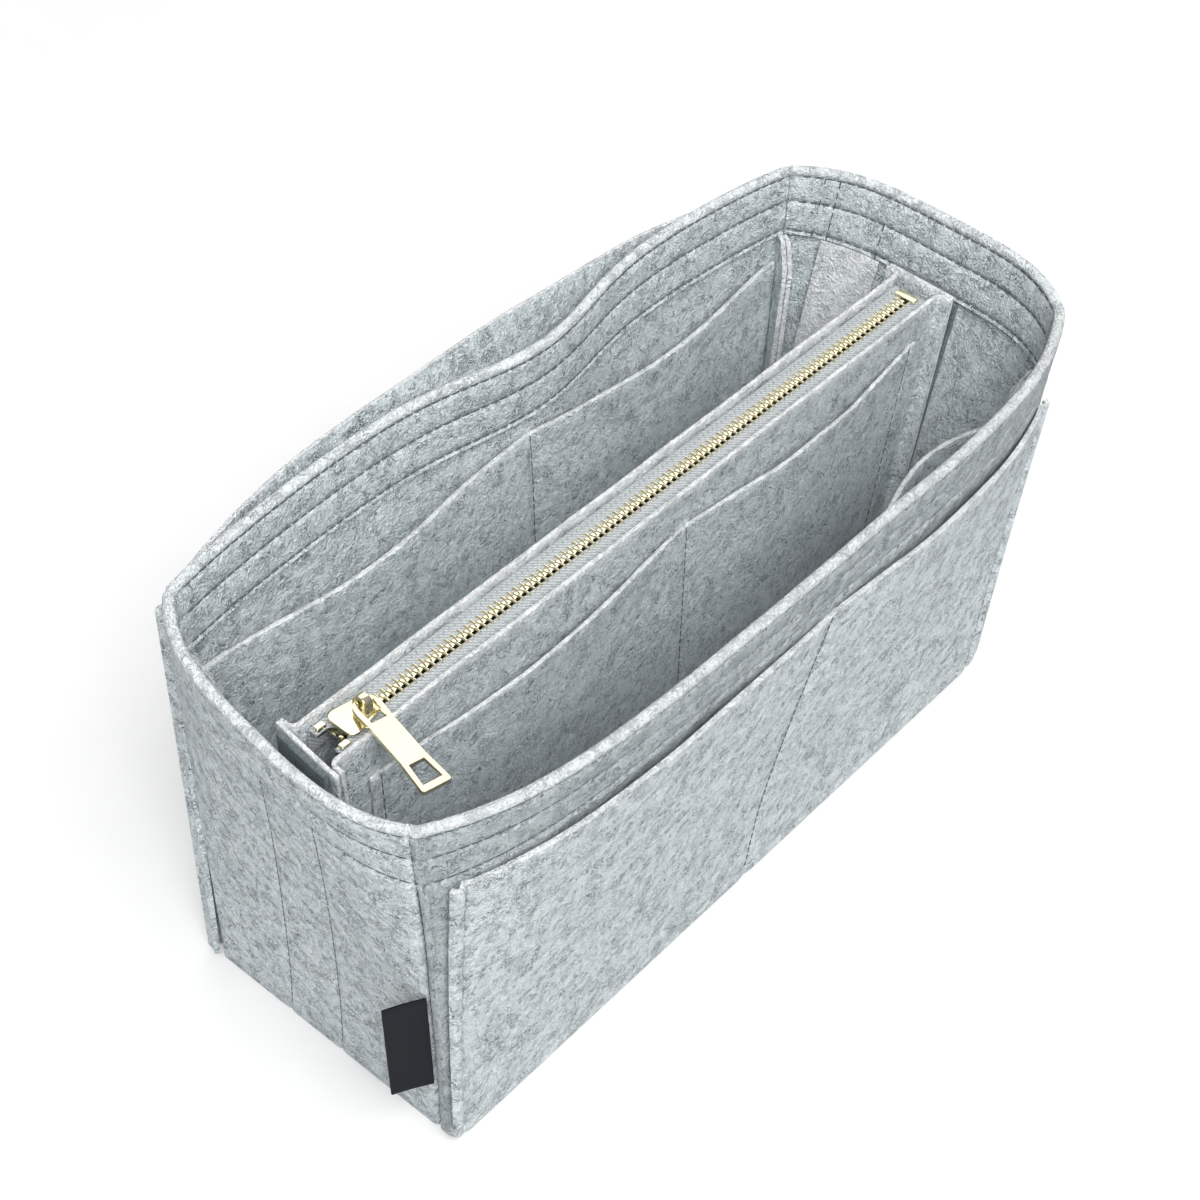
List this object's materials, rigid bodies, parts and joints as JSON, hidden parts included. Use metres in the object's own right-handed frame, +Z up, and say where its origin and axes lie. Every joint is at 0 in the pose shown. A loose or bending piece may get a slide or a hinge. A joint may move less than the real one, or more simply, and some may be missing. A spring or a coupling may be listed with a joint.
{
  "type": "purse organizer insert",
  "caption": "Open felt tub with a hemmed rim and slip pockets inside and out, holding a lift-out pouch with a metal zip; stands inside a handbag and keeps its contents sorted.",
  "frame": {"origin": "centre of the underside of the base panel", "axes": "+X along the length, from the closed slider's end to the other end; +Y from the front wall to the back wall; +Z up"},
  "size_m": [0.3126, 0.1456, 0.154],
  "materials": {
    "felt": "light blue-grey heathered polyester felt, matte",
    "pouch_felt": "light blue-grey heathered polyester felt, matte, a little thinner",
    "hook_and_loop": "dark grey hook-and-loop tape, matte",
    "zip_tape": "light grey woven polyester zip tape",
    "pale_gold_metal": "polished pale gold",
    "label": "black woven label, left bare"
  },
  "bodies": {
    "tub": {"base_panel": "felt", "front_wall": "felt", "back_wall": "felt", "left_end_wall": "felt", "right_end_wall": "felt", "front_outer_pocket": "felt", "back_outer_pocket": "felt", "front_inner_pocket": "felt", "back_inner_pocket": "felt", "left_loop_strip": "hook_and_loop", "right_loop_strip": "hook_and_loop", "inner_strap": "felt", "label_tag": "label"},
    "pouch": {"pouch_front_panel": "pouch_felt", "pouch_back_panel": "pouch_felt", "pouch_bottom": "pouch_felt", "pouch_front_pocket": "pouch_felt", "pouch_left_end": "pouch_felt", "pouch_right_end": "pouch_felt", "left_hook_strip": "hook_and_loop", "right_hook_strip": "hook_and_loop", "zip_tape_front": "zip_tape", "zip_tape_back": "zip_tape", "zip_teeth_front": "pale_gold_metal", "zip_teeth_back": "pale_gold_metal", "top_stop_front": "pale_gold_metal", "top_stop_back": "pale_gold_metal", "bottom_stop": "pale_gold_metal"},
    "slider": {"slider_body": "pale_gold_metal"},
    "pull_tab": {"pull_tab": "pale_gold_metal"}
  },
  "joints": [
    {"name": "pouch_lift", "type": "slide", "parent": "tub", "child": "pouch", "axis": [0, 0, 1], "range_m": [0, 0.16]},
    {"name": "zip_slide", "type": "slide", "parent": "pouch", "child": "slider", "axis": [1, 0, 0], "range_m": [0, 0.242], "deforming": ["zip_teeth_front", "zip_teeth_back"]},
    {"name": "pull_tab_swing", "type": "hinge", "parent": "slider", "child": "pull_tab", "pos_m": [-0.11904, 0.0005, 0.1393], "axis": [-0.9781, 0.2079, 0], "range_deg": [0, 180]}
  ]
}
